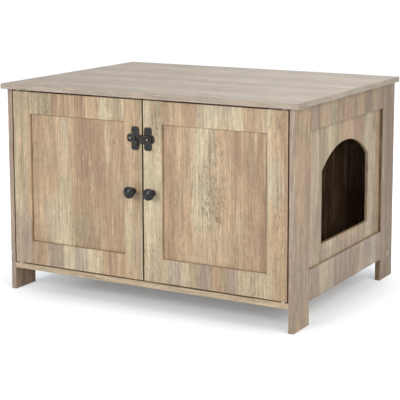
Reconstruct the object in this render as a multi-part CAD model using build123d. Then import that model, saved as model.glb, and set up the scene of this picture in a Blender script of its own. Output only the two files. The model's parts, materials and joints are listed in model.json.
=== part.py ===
# Cat cabinet: a low two-door cupboard for a litter tray, with an arched entry in its right side.
# Millimetres. +X is right, +Y is back and +Z is up, seen by someone who faces the doors.
# The origin is on the floor, under the middle of the whole outline, knobs included.

import math
import os

from build123d import *

# Carcass
overall_height = 515.0
top_length = 800.0
top_depth = 600.0
board_thickness = 13.0
top_side_overhang = 12.0
top_front_overhang = 12.0
leg_height = 55.0            # clear height under the floor board and the side rails
edge_break = 0.5             # arris taken off every outer edge

# Side frames
side_stile_width = 80.0
side_bottom_rail_height = 72.0
side_top_rail_height = 59.0
panel_thickness = 7.0        # sunk panels and the back
panel_lap = 8.0              # how far a sunk panel reaches behind its frame
panel_play = 0.3             # between a panel's edge and its rebate or groove

# Arched cat entry, centred in the right side
entry_width = 276.0
entry_sill_margin = 43.0     # from the bottom rail up to the sill
entry_crown_margin = 49.0    # from the crown up to the top rail
entry_rise = 54.0            # height of the arc above the straight jambs

# Back panel
back_inset = 10.0
groove_depth = 5.0
groove_play = 0.2

# Doors
door_gap = 3.0
door_top_gap = 4.5           # shows under the top board's overhang
meeting_gap = 3.0
door_stile_width = 50.0
door_bottom_rail_height = 57.0
door_top_rail_height = 53.5

# Door pivots: steel pins that turn in flanged nylon bushes
hinge_inset = 12.0           # from the door's outer edge to the pin's axis
pin_radius = 2.0
pin_embedded = 22.0
pin_running_play = 0.05
bush_wall = 1.5
bush_depth = 10.0
bush_flange_rim = 1.0
bush_flange_play = 0.3       # under or over the door's edge
pin_end_play = 0.6

# Knobs
knob_proud = 28.0
knob_drop = 215.5            # from the door's top edge to the knob
knob_head_radius = 14.0
knob_rim_height = 17.0       # from the door to the back of the head's rim
knob_rim_thickness = 5.0
knob_rim_round = 1.6
knob_base_radius = 8.0
knob_base_thickness = 2.0
knob_neck_radius = 4.5
knob_neck_foot = 4.5
knob_neck_length = 11.0      # from the door to where the neck flares
knob_screw_radius = 2.0
knob_screw_depth = 9.0       # thread inside the knob
knob_screw_head_radius = 4.0
knob_screw_head_height = 2.4

# Latch across the meeting edges
plate_height = 55.0
plate_bar_width = 20.5
plate_corner_radius = 6.0
plate_lobe_height = 20.0
plate_lobe_radius = 8.0
plate_thickness = 2.5
plate_bevel = 0.8
latch_drop = 90.0            # from the doors' top edges to the middle of the plates
keeper_edge_offset = 9.0     # from the cabinet's middle to the keeper plate
keeper_lobe_reach = 12.0
pivot_plate_edge_offset = 5.0
pivot_plate_lobe_reach = 7.0
arm_height = 20.0
arm_thickness = 4.0
arm_reach = 32.5             # from the pivot to the free end
arm_corner_radius = 4.0
arm_bevel = 1.0
arm_play = 0.4
arm_pivot_offset = 12.5      # from the pivot plate's near edge
arm_sag = 0.9                # its pivot below the middle of the plates
rivet_radius = 2.5
rivet_head_radius = 4.5
rivet_head_height = 2.0
rivet_embedded = 8.0
hook_width = 11.0
hook_shelf_thickness = 6.5
hook_lip_thickness = 2.6
hook_lip_height = 7.0        # above the shelf
plate_screw_radius = 1.4
plate_screw_depth = 9.0      # thread inside the door
plate_screw_head_radius = 2.8
plate_screw_head_depth = 1.5
plate_screw_edge = 8.0       # from a lobe's end to its screw

# Dowels
dowel_radius = 3.0
dowel_length = 30.0
dowel_edge = 18.0            # from a rail's edge to its dowel
dowel_depth_in_face = 8.0    # the short end, where a dowel enters a board's face
carcass_dowel_spacing = 200.0
seat_play = 0.05             # round dowels, screws and other fixed fasteners

# Screws that hold the floor board, with their cover caps
floor_screw_edge = 30.0      # from the front or back edge
floor_screw_radius = 2.5
floor_screw_length = 40.0
floor_screw_head_radius = 4.5
floor_screw_head_depth = 3.0
cap_radius = 7.0
cap_thickness = 0.5

# Cam fittings that hold the top board
cam_radius = 6.0
cam_depth = 10.6
cam_drop = 24.0              # from the side's top edge to the cam's centre
cam_bolt_radius = 2.5
cam_bolt_thread = 9.0
cam_bolt_collar_radius = 3.5
cam_bolt_collar_height = 2.0
cam_bolt_head_radius = 3.0
cam_bolt_head_height = 4.0

# Door stop under the top board
stop_length = 80.0
stop_height = 15.0
stop_depth = 14.0
stop_play = 0.3
stop_screw_radius = 1.75
stop_screw_length = 24.0
stop_screw_head_radius = 3.5
stop_screw_head_height = 2.0
stop_screw_edge = 15.0

# Places that follow from the sizes
body_depth = top_depth - top_front_overhang
front_y = (knob_proud - body_depth) / 2
back_y = front_y + body_depth
middle_y = (front_y + back_y) / 2
outer_x = top_length / 2 - top_side_overhang
inner_x = outer_x - board_thickness
top_underside = overall_height - board_thickness
floor_top = leg_height + board_thickness
recess_depth = board_thickness - panel_thickness
door_outer = inner_x - door_gap
door_inner = meeting_gap / 2
door_low = floor_top + door_gap
door_high = top_underside - door_top_gap
door_back_y = front_y + board_thickness
hinge_x = door_outer - hinge_inset
hinge_y = front_y + board_thickness / 2
knob_x = door_inner + door_stile_width / 2
knob_z = door_high - knob_drop
latch_z = door_high - latch_drop
arm_z = latch_z - arm_sag
front_plane = Plane(origin=(0, front_y, 0), x_dir=(1, 0, 0), z_dir=(0, -1, 0))
side_names = {1: "right", -1: "left"}
nodes = {}


def block(low, high):
    """Rectangular block between two opposite corners."""
    size = [abs(b - a) for a, b in zip(low, high)]
    centre = [(a + b) / 2 for a, b in zip(low, high)]
    return Pos(*centre) * Box(*size)


def peg(radius, start, end):
    """Round peg from one point to another."""
    run = Vector(*end) - Vector(*start)
    on_start = (Align.CENTER, Align.CENTER, Align.MIN)
    return Plane(origin=start, z_dir=run) * Cylinder(radius, run.length, align=on_start)


def ease(piece, direction):
    """Take the arris off the edges of the outermost face in one direction."""
    face = piece.faces().sort_by(Axis((0, 0, 0), direction))[-1]
    return chamfer(face.edges(), edge_break)


def group(pieces):
    """Identical pieces kept as one node of separate solids."""
    return Compound([solid for piece in pieces for solid in piece.solids()])


def inset_pair(low, high, inset):
    """Two places, one the same distance inside each end of a span."""
    return low + inset, high - inset


# Fasteners: each function gives the fastener, or with play the hole that it sits in, which is
# larger by the play all round and so runs out past the faces that the fastener is flush with

def frame_dowels(side, play=0.0):
    """Dowels along Y that join a side's stiles to its rails."""
    x = side * (outer_x - board_thickness / 2)
    half = dowel_length / 2 + play
    rails = ((leg_height, leg_height + side_bottom_rail_height),
             (top_underside - side_top_rail_height, top_underside))
    joints = inset_pair(front_y, back_y, side_stile_width)
    return [peg(dowel_radius + play, (x, y - half, z), (x, y + half, z))
            for y in joints for rail in rails for z in inset_pair(*rail, dowel_edge)]


def door_dowels(side, play=0.0):
    """Dowels along X that join a door's stiles to its rails."""
    half = dowel_length / 2 + play
    rails = ((door_low, door_low + door_bottom_rail_height),
             (door_high - door_top_rail_height, door_high))
    joints = inset_pair(door_inner, door_outer, door_stile_width)
    return [peg(dowel_radius + play, (side * x - half, hinge_y, z), (side * x + half, hinge_y, z))
            for x in joints for rail in rails for z in inset_pair(*rail, dowel_edge)]


def carcass_dowel_places():
    return inset_pair(middle_y, middle_y, -carcass_dowel_spacing / 2)


def floor_dowels(side, play=0.0):
    """Dowels along X between a side's bottom rail and the floor board's end."""
    z = leg_height + board_thickness / 2
    deep = inner_x + dowel_depth_in_face + play
    shallow = inner_x + dowel_depth_in_face - dowel_length - play
    return [peg(dowel_radius + play, (side * shallow, y, z), (side * deep, y, z))
            for y in carcass_dowel_places()]


def top_dowels(side, play=0.0):
    """Dowels along Z between a side's top rail and the top board."""
    x = side * (outer_x - board_thickness / 2)
    high = top_underside + dowel_depth_in_face + play
    low = top_underside + dowel_depth_in_face - dowel_length - play
    return [peg(dowel_radius + play, (x, y, low), (x, y, high)) for y in carcass_dowel_places()]


def floor_screw_places():
    z = leg_height + board_thickness / 2
    return [(y, z) for y in inset_pair(front_y, back_y, floor_screw_edge)]


def floor_screws(side, play=0.0):
    """Countersunk screws through a leg into the floor board's end."""
    face = outer_x + play
    under_head = outer_x - floor_screw_head_depth - play
    tip = outer_x - floor_screw_length - play
    return [peg(floor_screw_radius + play, (side * tip, y, z), (side * face, y, z))
            + peg(floor_screw_head_radius + play, (side * under_head, y, z), (side * face, y, z))
            for y, z in floor_screw_places()]


def screw_caps(side):
    """Thin round covers stuck over the floor screws."""
    face = outer_x + cap_thickness
    return [peg(cap_radius, (side * outer_x, y, z), (side * face, y, z))
            for y, z in floor_screw_places()]


def cam_places():
    x = outer_x - board_thickness / 2
    return [(x, y) for y in inset_pair(front_y, back_y, side_stile_width / 2)]


def cam_bolts(side, play=0.0):
    """Bolts that hang from the top board, each with a collar and a head that its cam grips."""
    bolts = []
    for x, y in cam_places():
        low = top_underside - cam_drop
        bolt = peg(cam_bolt_radius + play, (side * x, y, low),
                   (side * x, y, top_underside + cam_bolt_thread + play))
        if not play:
            bolt += peg(cam_bolt_collar_radius, (side * x, y, top_underside - cam_bolt_collar_height),
                        (side * x, y, top_underside))
            bolt += peg(cam_bolt_head_radius, (side * x, y, low),
                        (side * x, y, low + cam_bolt_head_height))
        bolts.append(bolt)
    return bolts


def cam_shafts(side):
    """Bores down the side's top edge that let the bolts in."""
    radius = cam_bolt_collar_radius + seat_play
    mouth = top_underside + seat_play
    return [peg(radius, (side * x, y, top_underside - cam_drop), (side * x, y, mouth))
            for x, y in cam_places()]


def cam_locks(side, play=0.0):
    """Round cams let into the side's inner face."""
    z = top_underside - cam_drop
    mouth = inner_x - play
    bottom = inner_x + cam_depth + play
    return [peg(cam_radius + play, (side * mouth, y, z), (side * bottom, y, z))
            for x, y in cam_places()]


# Boards of the carcass

def groove():
    """Space cut in the boards round the back panel, open towards the cabinet's inside."""
    reach = inner_x + groove_depth
    return block((-reach, back_panel_front - groove_play, floor_top - groove_depth),
                 (reach, back_y - back_inset + groove_play, top_underside + groove_depth))


back_panel_front = back_y - back_inset - panel_thickness
back_groove = groove()


def make_top():
    board = block((-top_length / 2, front_y - top_front_overhang, top_underside),
                  (top_length / 2, back_y, overall_height))
    board = chamfer(board.edges(), edge_break)
    cuts = [back_groove] + bush_holes(1, 1) + bush_holes(-1, 1) + stop_screws(seat_play)
    for side in side_names:
        cuts += cam_bolts(side, seat_play) + top_dowels(side, seat_play)
    return board - cuts


def make_floor():
    board = block((-inner_x, front_y, leg_height), (inner_x, back_y, floor_top))
    board = ease(board, (0, -1, 0))
    cuts = [back_groove] + bush_holes(1, -1) + bush_holes(-1, -1)
    for side in side_names:
        cuts += floor_dowels(side, seat_play) + floor_screws(side, seat_play)
    return board - cuts


def make_back():
    reach = inner_x + groove_depth - panel_play
    return block((-reach, back_panel_front, floor_top - groove_depth + panel_play),
                 (reach, back_y - back_inset, top_underside + groove_depth - panel_play))


# Side frames

side_open_y = inset_pair(front_y, back_y, side_stile_width)
side_open_z = (leg_height + side_bottom_rail_height, top_underside - side_top_rail_height)


def side_panel_block(side, lap):
    """Space of the sunk panel, which reaches behind the frame by the given lap."""
    return block((side * (outer_x - recess_depth), side_open_y[0] - lap, side_open_z[0] - lap),
                 (side * inner_x, side_open_y[1] + lap, side_open_z[1] + lap))


def entry_opening(side):
    """Arched opening: straight jambs below a segment of a circle."""
    half = entry_width / 2
    sill = side_open_z[0] + entry_sill_margin
    crown = side_open_z[1] - entry_crown_margin
    spring = crown - entry_rise
    plane = Plane(origin=(side * inner_x, middle_y, 0), x_dir=(0, 1, 0), z_dir=(1, 0, 0))
    outline = (Polyline((-half, spring), (-half, sill), (half, sill), (half, spring))
               + ThreePointArc((half, spring), (0, crown), (-half, spring)))
    return plane * extrude(make_face(outline), panel_thickness, both=True)


def make_side(side):
    """Stiles down to the ground, rails between them and a sunk panel, all for one side."""
    name = side_names[side]
    outwards = (side, 0, 0)
    x0, x1 = side * outer_x, side * inner_x
    (y1, y2), (z1, z2) = side_open_y, side_open_z
    cuts = [side_panel_block(side, panel_lap), back_groove]
    cuts += frame_dowels(side, seat_play) + floor_dowels(side, seat_play) + top_dowels(side, seat_play)
    cuts += floor_screws(side, seat_play) + cam_shafts(side) + cam_locks(side, seat_play)
    boards = {"front_stile": ((x0, front_y, 0), (x1, y1, top_underside)),
              "back_stile": ((x0, y2, 0), (x1, back_y, top_underside)),
              "bottom_rail": ((x0, y1, leg_height), (x1, y2, z1)),
              "top_rail": ((x0, y1, z2), (x1, y2, top_underside))}
    for board, (low, high) in boards.items():
        nodes[f"{name}_{board}"] = ease(block(low, high), outwards) - cuts
    panel = side_panel_block(side, panel_lap - panel_play)
    if name == "right":
        panel = panel - entry_opening(side)
    nodes[f"{name}_{'entry' if name == 'right' else 'side'}_panel"] = panel
    nodes[f"{name}_side_dowels"] = group(frame_dowels(side))


# Door pivots

def hinge_pin(side, level, play=0.0):
    """Pin at the bottom (level -1) or top (level 1) of a door, half in the door's edge."""
    edge = door_high if level > 0 else door_low
    seat = top_underside if level > 0 else floor_top
    start = edge - level * (pin_embedded + play)
    end = seat + level * (bush_depth - pin_end_play)
    return peg(pin_radius + play, (side * hinge_x, hinge_y, start), (side * hinge_x, hinge_y, end))


def bush_holes(side, level):
    seat = top_underside if level > 0 else floor_top
    radius = pin_radius + pin_running_play + bush_wall + seat_play
    return [peg(radius, (side * hinge_x, hinge_y, seat - level * seat_play),
                (side * hinge_x, hinge_y, seat + level * bush_depth))]


def hinge_bush(side, level):
    """Nylon sleeve in the board, with a flange that fills the gap at the door's edge."""
    seat = top_underside if level > 0 else floor_top
    gap = door_top_gap if level > 0 else door_gap
    face = seat - level * (gap - bush_flange_play)
    bottom = seat + level * bush_depth
    bore = pin_radius + pin_running_play
    place = (side * hinge_x, hinge_y)
    sleeve = peg(bore + bush_wall, (*place, seat), (*place, bottom))
    flange = peg(bore + bush_wall + bush_flange_rim, (*place, seat), (*place, face))
    return sleeve + flange - peg(bore, (*place, face), (*place, bottom))


# Doors

door_open_z = (door_low + door_bottom_rail_height, door_high - door_top_rail_height)
door_open_x = inset_pair(door_inner, door_outer, door_stile_width)


def door_panel_block(side, lap):
    return block((side * (door_open_x[0] - lap), front_y + recess_depth, door_open_z[0] - lap),
                 (side * (door_open_x[1] + lap), door_back_y, door_open_z[1] + lap))


def make_door(side):
    """Frame and sunk panel of one door, with its pivot pins and knob."""
    name = f"{side_names[side]}_door"
    (x1, x2), (z1, z2) = door_open_x, door_open_z
    pins = {"lower_pin": -1, "upper_pin": 1}
    cuts = [door_panel_block(side, panel_lap)] + door_dowels(side, seat_play)
    cuts += [hinge_pin(side, level, seat_play) for level in pins.values()]
    cuts += [knob_screw(side, seat_play)]
    cuts += pivot_plate_holes() if side > 0 else keeper_holes()
    boards = {"outer_stile": (x2, door_low, door_outer, door_high),
              "inner_stile": (door_inner, door_low, x1, door_high),
              "bottom_rail": (x1, door_low, x2, z1),
              "top_rail": (x1, z2, x2, door_high)}
    for board, (near, low, far, high) in boards.items():
        piece = block((side * near, front_y, low), (side * far, door_back_y, high))
        nodes[f"{name}_{board}"] = ease(piece, (0, -1, 0)) - cuts
    nodes[f"{name}_panel"] = door_panel_block(side, panel_lap - panel_play)
    nodes[f"{name}_dowels"] = group(door_dowels(side))
    for pin, level in pins.items():
        nodes[f"{name}_{pin}"] = hinge_pin(side, level)
    nodes[f"{side_names[side]}_knob"] = knob(side)
    nodes[f"{side_names[side]}_knob_screw"] = knob_screw(side)


def knob(side):
    """Mushroom knob turned about its screw: a foot disc, a neck and a domed head."""
    rim_front = knob_rim_height + knob_rim_thickness
    dome_rise = knob_proud - rim_front
    dome_radius = (knob_head_radius**2 + dome_rise**2) / (2 * dome_rise)
    half_angle = math.asin(knob_head_radius / dome_radius) / 2
    dome = (dome_radius * math.sin(half_angle),
            knob_proud - dome_radius * (1 - math.cos(half_angle)))
    outline = (Polyline((0, knob_proud), (0, 0), (knob_base_radius, 0),
                        (knob_base_radius, knob_base_thickness), (knob_neck_radius, knob_neck_foot),
                        (knob_neck_radius, knob_neck_length), (knob_head_radius, knob_rim_height),
                        (knob_head_radius, rim_front))
               + ThreePointArc((knob_head_radius, rim_front), dome, (0, knob_proud)))
    half_section = make_face(outline)
    half_section = fillet(half_section.vertices().group_by(Axis.X)[-1], knob_rim_round)
    plane = Plane(origin=(side * knob_x, front_y, knob_z), x_dir=(1, 0, 0), z_dir=(0, 0, -1))
    return plane * revolve(half_section, Axis.Y) - knob_screw(side, seat_play)


def knob_screw(side, play=0.0):
    """Pan-head screw from inside the door into the knob."""
    x, z = side * knob_x, knob_z
    shank = peg(knob_screw_radius + play, (x, front_y - knob_screw_depth - play, z),
                (x, door_back_y + play, z))
    if play:
        return shank
    head_end = door_back_y + knob_screw_head_height
    return shank + peg(knob_screw_head_radius, (x, door_back_y, z), (x, head_end, z))


# Latch: a keeper plate on the left door, a pivot plate on the right door and the arm between

keeper_middle_x = -keeper_edge_offset - plate_bar_width / 2
pivot_plate_middle_x = pivot_plate_edge_offset + plate_bar_width / 2
arm_pivot_x = pivot_plate_edge_offset + arm_pivot_offset
arm_back = plate_thickness + arm_play          # distances in front of the doors
arm_front = arm_back + arm_thickness


def proud(distance):
    return front_y - distance


def lobed_plate(middle_x, away, reach):
    """Upright bar with round corners and one lobe that points away from the meeting edges."""
    bar = Pos(middle_x, latch_z) * RectangleRounded(
        plate_bar_width, plate_height, plate_corner_radius)
    lobe_length = plate_bar_width / 2 + reach
    lobe = Pos(middle_x + away * lobe_length / 2, latch_z) * RectangleRounded(
        lobe_length, plate_lobe_height, plate_lobe_radius)
    plate = front_plane * extrude(bar + lobe, plate_thickness)
    front_edges = plate.faces().sort_by(Axis.Y)[0].edges()
    return chamfer(front_edges, plate_bevel)


def plate_screw(x, z, play=0.0):
    """Countersunk screw, flush with its plate."""
    face = proud(plate_thickness + play)
    shank = peg(plate_screw_radius + play, (x, front_y + plate_screw_depth + play, z), (x, face, z))
    head = Plane(origin=(x, face, z), z_dir=(0, 1, 0)) * Cone(
        plate_screw_head_radius + play, plate_screw_radius + play, plate_screw_head_depth + play,
        align=(Align.CENTER, Align.CENTER, Align.MIN))
    return shank + head


def keeper_screws(play=0.0):
    rise = plate_height / 2 - plate_screw_edge
    lobe_x = keeper_middle_x - plate_bar_width / 2 - keeper_lobe_reach + plate_screw_edge
    places = [(keeper_middle_x, latch_z + rise), (keeper_middle_x, latch_z - rise),
              (lobe_x, latch_z)]
    return [plate_screw(x, z, play) for x, z in places]


def pivot_plate_screws(play=0.0):
    rise = plate_height / 2 - plate_screw_edge
    return [plate_screw(pivot_plate_middle_x, latch_z + turn * rise, play)
            for turn in (1, -1)]


def latch_rivet(play=0.0):
    """Headed pin that holds the arm on the pivot plate."""
    x, z = arm_pivot_x, arm_z
    head_back = arm_front + arm_play
    shank = peg(rivet_radius + play, (x, front_y + rivet_embedded + play, z), (x, proud(head_back), z))
    if play:
        return shank
    head = peg(rivet_head_radius, (x, proud(head_back), z), (x, proud(head_back + rivet_head_height), z))
    return shank + chamfer(head.faces().sort_by(Axis.Y)[0].edges(), plate_bevel)


def keeper_holes():
    return keeper_screws(seat_play)


def pivot_plate_holes():
    return pivot_plate_screws(seat_play) + [latch_rivet(seat_play)]


def keeper_plate():
    """Plate with the open hook that the arm drops into."""
    near, far = -keeper_edge_offset, -keeper_edge_offset - hook_width
    shelf_top = arm_z - arm_height / 2 - arm_play
    shelf_low = shelf_top - hook_shelf_thickness
    lip_back = arm_front + arm_play
    lip_front = lip_back + hook_lip_thickness
    shelf = block((far, proud(0), shelf_low), (near, proud(lip_front), shelf_top))
    lip = block((far, proud(lip_back), shelf_low), (near, proud(lip_front), shelf_top + hook_lip_height))
    hook = shelf + lip
    hook = chamfer(hook.faces().sort_by(Axis.Y)[0].edges(), plate_bevel)
    return lobed_plate(keeper_middle_x, -1, keeper_lobe_reach) + hook - keeper_holes()


def latch_arm():
    """Flat tongue with a round boss at its pivot, lying across both plates."""
    tongue = Pos(arm_pivot_x - arm_reach / 2, arm_z) * Rectangle(arm_reach, arm_height)
    tongue = fillet(tongue.vertices().sort_by(Axis.X)[:2], arm_corner_radius)
    boss = Pos(arm_pivot_x, arm_z) * Circle(arm_height / 2)
    layer = Plane(origin=(0, proud(arm_back), 0), x_dir=(1, 0, 0), z_dir=(0, -1, 0))
    arm = layer * extrude(tongue + boss, arm_thickness)
    arm = chamfer(arm.faces().sort_by(Axis.Y)[0].edges(), arm_bevel)
    bore = peg(rivet_radius + pin_running_play, (arm_pivot_x, front_y, arm_z),
               (arm_pivot_x, proud(arm_front + arm_play), arm_z))
    return arm - bore


# Door stop

stop_low = top_underside - stop_height
stop_front = door_back_y + stop_play


def stop_screws(play=0.0):
    """Screws up through the stop into the top board."""
    y = stop_front + stop_depth / 2
    screws = []
    for x in inset_pair(-stop_length / 2, stop_length / 2, stop_screw_edge):
        tip = stop_low + stop_screw_length + play
        screw = peg(stop_screw_radius + play, (x, y, stop_low - play), (x, y, tip))
        if not play:
            screw += peg(stop_screw_head_radius, (x, y, stop_low - stop_screw_head_height),
                         (x, y, stop_low))
        screws.append(screw)
    return screws


def door_stop():
    stop = block((-stop_length / 2, stop_front, stop_low),
                 (stop_length / 2, stop_front + stop_depth, top_underside))
    return ease(stop, (0, 0, -1)) - stop_screws(seat_play)


def make_all():
    nodes["top_panel"] = make_top()
    nodes["floor_panel"] = make_floor()
    nodes["back_panel"] = make_back()
    for side in side_names:
        make_side(side)
        make_door(side)
    nodes["hinge_bushes"] = group([hinge_bush(side, level) for side in side_names for level in (1, -1)])
    nodes["keeper_plate"] = keeper_plate()
    nodes["keeper_screws"] = group(keeper_screws())
    pivot_plate = lobed_plate(pivot_plate_middle_x, 1, pivot_plate_lobe_reach)
    nodes["pivot_plate"] = pivot_plate - pivot_plate_holes()
    nodes["pivot_plate_screws"] = group(pivot_plate_screws())
    nodes["latch_rivet"] = latch_rivet()
    nodes["latch_arm"] = latch_arm()
    nodes["floor_dowels"] = group(floor_dowels(1) + floor_dowels(-1))
    nodes["top_dowels"] = group(top_dowels(1) + top_dowels(-1))
    nodes["floor_screws"] = group(floor_screws(1) + floor_screws(-1))
    nodes["screw_caps"] = group(screw_caps(1) + screw_caps(-1))
    nodes["cam_bolts"] = group(cam_bolts(1) + cam_bolts(-1))
    nodes["cam_locks"] = group([lock - cam_shafts(side) for side in side_names
                                for lock in cam_locks(side)])
    nodes["door_stop"] = door_stop()
    nodes["door_stop_screws"] = group(stop_screws())


make_all()
os.makedirs("parts", exist_ok=True)
for node, shape in nodes.items():
    export_step(shape, f"parts/{node}.step")
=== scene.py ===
# %% [markdown]
# # A cat cabinet in rustic foil-covered board
#
# The cabinet is a cupboard that hides a litter tray. Its boards are particle board under a printed
# wood foil, so each board is a plain block with a rich surface. The CAD model already has the right
# blocks, and they stay. What this lesson makes is the foil, and the black hammered iron, whose
# dents and rolled edges need more surface than a CAD solid has.

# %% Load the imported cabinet
import json
import math
import bmesh
import bpy
import numpy as np
from mathutils import Matrix, Quaternion, Vector


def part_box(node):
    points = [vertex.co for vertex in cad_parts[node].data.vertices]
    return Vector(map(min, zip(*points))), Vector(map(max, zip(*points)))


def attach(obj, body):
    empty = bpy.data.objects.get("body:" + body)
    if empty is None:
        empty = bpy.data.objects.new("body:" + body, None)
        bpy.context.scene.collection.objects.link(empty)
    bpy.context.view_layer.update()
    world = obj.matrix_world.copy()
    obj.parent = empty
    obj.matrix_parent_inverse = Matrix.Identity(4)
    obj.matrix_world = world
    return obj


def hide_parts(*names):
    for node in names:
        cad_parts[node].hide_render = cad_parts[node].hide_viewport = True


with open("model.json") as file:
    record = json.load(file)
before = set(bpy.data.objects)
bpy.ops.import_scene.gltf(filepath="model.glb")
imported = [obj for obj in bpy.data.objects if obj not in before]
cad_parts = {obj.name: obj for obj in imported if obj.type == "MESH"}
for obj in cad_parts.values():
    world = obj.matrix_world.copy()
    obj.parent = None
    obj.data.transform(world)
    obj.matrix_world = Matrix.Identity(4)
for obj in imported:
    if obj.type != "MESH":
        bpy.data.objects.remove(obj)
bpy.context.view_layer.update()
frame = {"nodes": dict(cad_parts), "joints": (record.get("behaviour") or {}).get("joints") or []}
scene = bpy.context.scene
mm = 0.001

# %% [markdown]
# Two helpers serve the whole lesson. One puts a new object in the scene, and the other measures a
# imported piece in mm.

# %% Helpers
def in_scene(name, data):
    """A new object in the scene for a mesh, a camera or a lamp."""
    thing = bpy.data.objects.new(name, data)
    scene.collection.objects.link(thing)
    return thing


def span(node, axis):
    """Where a node's box starts and ends along an axis, in mm."""
    return [corner["xyz".index(axis)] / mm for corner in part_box(node)]


print("the top board spans", *[np.round(span("top_panel", axis), 1) for axis in "xyz"], "mm")

# %% [markdown]
# ## The camera
#
# The camera stands to the right of the front, a little above the top board, with a long lens. It
# looks down by 8 degrees, and the picture is shifted down from there, as a view camera does
# for furniture, so the upright edges stay almost parallel.

# %% Camera
camera_place = Vector((1.5673, -2.7718, 0.8810))
camera_target = Vector((-0.0143, 0.014, 0.4124))
camera_roll = math.radians(-0.135)
sensor_width = 36.0
focal_pixels = 1291.9           # focal length in pixels of a picture 400 pixels wide
centre_row = 120.0              # row of that picture that the lens points at

lens = bpy.data.cameras.new("camera")
lens.sensor_width = sensor_width
lens.lens = focal_pixels * sensor_width / 400
lens.shift_y = (centre_row - 200) / 400
lens.clip_end = 50
camera = in_scene("camera", lens)
camera.rotation_mode = "QUATERNION"
camera.rotation_quaternion = ((camera_target - camera_place).to_track_quat("-Z", "Y")
                              @ Quaternion((0, 0, 1), camera_roll))
camera.location = camera_place
scene.camera = camera
print("lens", round(lens.lens, 1), "mm,", round((camera_target - camera_place).length, 2), "m away")

# %% [markdown]
# ## Nodes and colours
#
# Every finish below is a small graph of shader nodes. One function adds a node, sets its options
# and joins its inputs, so that a graph reads like a recipe. Colours are written as on a paint card,
# in sRGB hex, and turned into the linear numbers that the shader needs.

# %% Colours and shader nodes
def linear(card):
    """Linear colour of an sRGB hex card: ((c + 0.055) / 1.055) ^ 2.4, or c / 12.92 up to 0.04045."""
    c = np.array([int(card[i:i + 2], 16) for i in (1, 3, 5)]) / 255
    c = np.where(c <= 0.04045, c / 12.92, ((c + 0.055) / 1.055) ** 2.4)
    return (*c.tolist(), 1.0)


def add(tree, kind, inputs=(), out=None, **options):
    """Adds one shader node, sets its options, fills or links its inputs and returns an output.

    The inputs are given by socket, or as a row for the first sockets. A MapRange row is the value,
    then the range that it comes from and the range that it goes to.
    """
    node = tree.nodes.new("ShaderNode" + kind)
    for option, value in options.items():
        setattr(node, option, value)
    for socket, value in (inputs if isinstance(inputs, dict) else dict(enumerate(inputs))).items():
        if isinstance(value, bpy.types.NodeSocket):
            tree.links.new(value, node.inputs[socket])
        else:
            node.inputs[socket].default_value = value
    return node.outputs[out] if out else next((s for s in node.outputs if s.enabled), None)


def new_finish(name):
    """An empty material and its node tree."""
    finish = bpy.data.materials.new(name)
    finish.use_nodes = True
    finish.node_tree.nodes.clear()
    return finish, finish.node_tree


def surface(tree, colour, height, lift, **settings):
    """Ends a finish: the Principled shader with a bump whose full height is lift metres."""
    inputs = {"Base Color": colour,
              "Normal": add(tree, "Bump", {"Height": height, "Distance": lift})}
    inputs.update({name.replace("_", " "): value for name, value in settings.items()})
    add(tree, "OutputMaterial", {"Surface": add(tree, "BsdfPrincipled", inputs)})


print("white is", linear("#FFFFFF"))

# %% [markdown]
# ## The printed foil
#
# The foil is a print of old planks, so one board shows strips of several tones side by side: cream,
# sand, tan, rose, mauve and ash. Each board is cut from another place of the roll, and the joints
# between the boards show because the strips don't meet. On the doors and sides the grain runs
# upright on every piece, on the rails too, and on the top and the floor board it runs left to right.
#
# A picture of the foil could be laid on the boards, but a worked-out pattern stays sharp at any
# distance and needs no file. It is built up as the print is: strips of tone from a colour ramp,
# slow changes along the grain, fine dark lines, pores, and flecked patches where the old wood was
# sawn. Noise makes all of them, stretched along the grain to sizes in millimetres.

# %% Tones of the print
tones = {"cream": "#DACAA9", "sand": "#CAB698", "tan": "#C8AC8A", "clay": "#B99C7E",
         "rose": "#AB8D71", "mauve": "#AD9987", "moss": "#B2A282", "ash": "#BFAF9A",
         "greige_sheen": "#B7A898", "stone_sheen": "#C4B6A6", "hazel": "#957F68", "umber": "#6B543E"}
tones = {name: linear(card) for name, card in tones.items()}
axes = {"x": Vector((1, 0, 0)), "y": Vector((0, 1, 0)), "z": Vector((0, 0, 1))}
print(", ".join(tones))


# %% Place on a board
def board_place(tree, node, across, grain):
    """Place on a board in mm: X across the grain from the board's low side, Z along the grain.

    The place is 1000 R p - 1000 R low, where the rows of the turn R are the across direction, the
    thickness and the grain. On the ends, where the normal runs along the grain, the second place
    has its coordinates moved round by one, so that the grain of an edge strip runs along it.
    """
    a, g = axes[across], axes[grain]
    turn = Matrix((a, g.cross(a), g))
    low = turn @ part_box(node)[0]
    point = add(tree, "TexCoord", out="Object")
    place = add(tree, "Mapping", {"Vector": point, "Location": -low / mm, "Scale": (1 / mm,) * 3,
                                  "Rotation": turn.to_euler()})
    facing = add(tree, "TexCoord", out="Normal")
    end = add(tree, "VectorMath", (facing, g), out="Value", operation="DOT_PRODUCT")
    end = add(tree, "Math", (end,), operation="ABSOLUTE")
    end = add(tree, "Math", (end, 0.7), operation="GREATER_THAN")
    parts = add(tree, "SeparateXYZ", (place,)).node.outputs
    moved = add(tree, "CombineXYZ", {"X": parts["Y"], "Y": parts["Z"], "Z": parts["X"]})
    return place, add(tree, "Mix", {0: end, 4: place, 5: moved}, data_type="VECTOR")


print("a board's grain runs along", ", ".join(axes))

# %% [markdown]
# The strips come from a colour ramp across the board. Two stops a few millimetres apart make a
# strip's edge. A slow noise lets the edge wander along the board, and a fine one frays it into
# fibres, so no edge is a ruled line.

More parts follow.
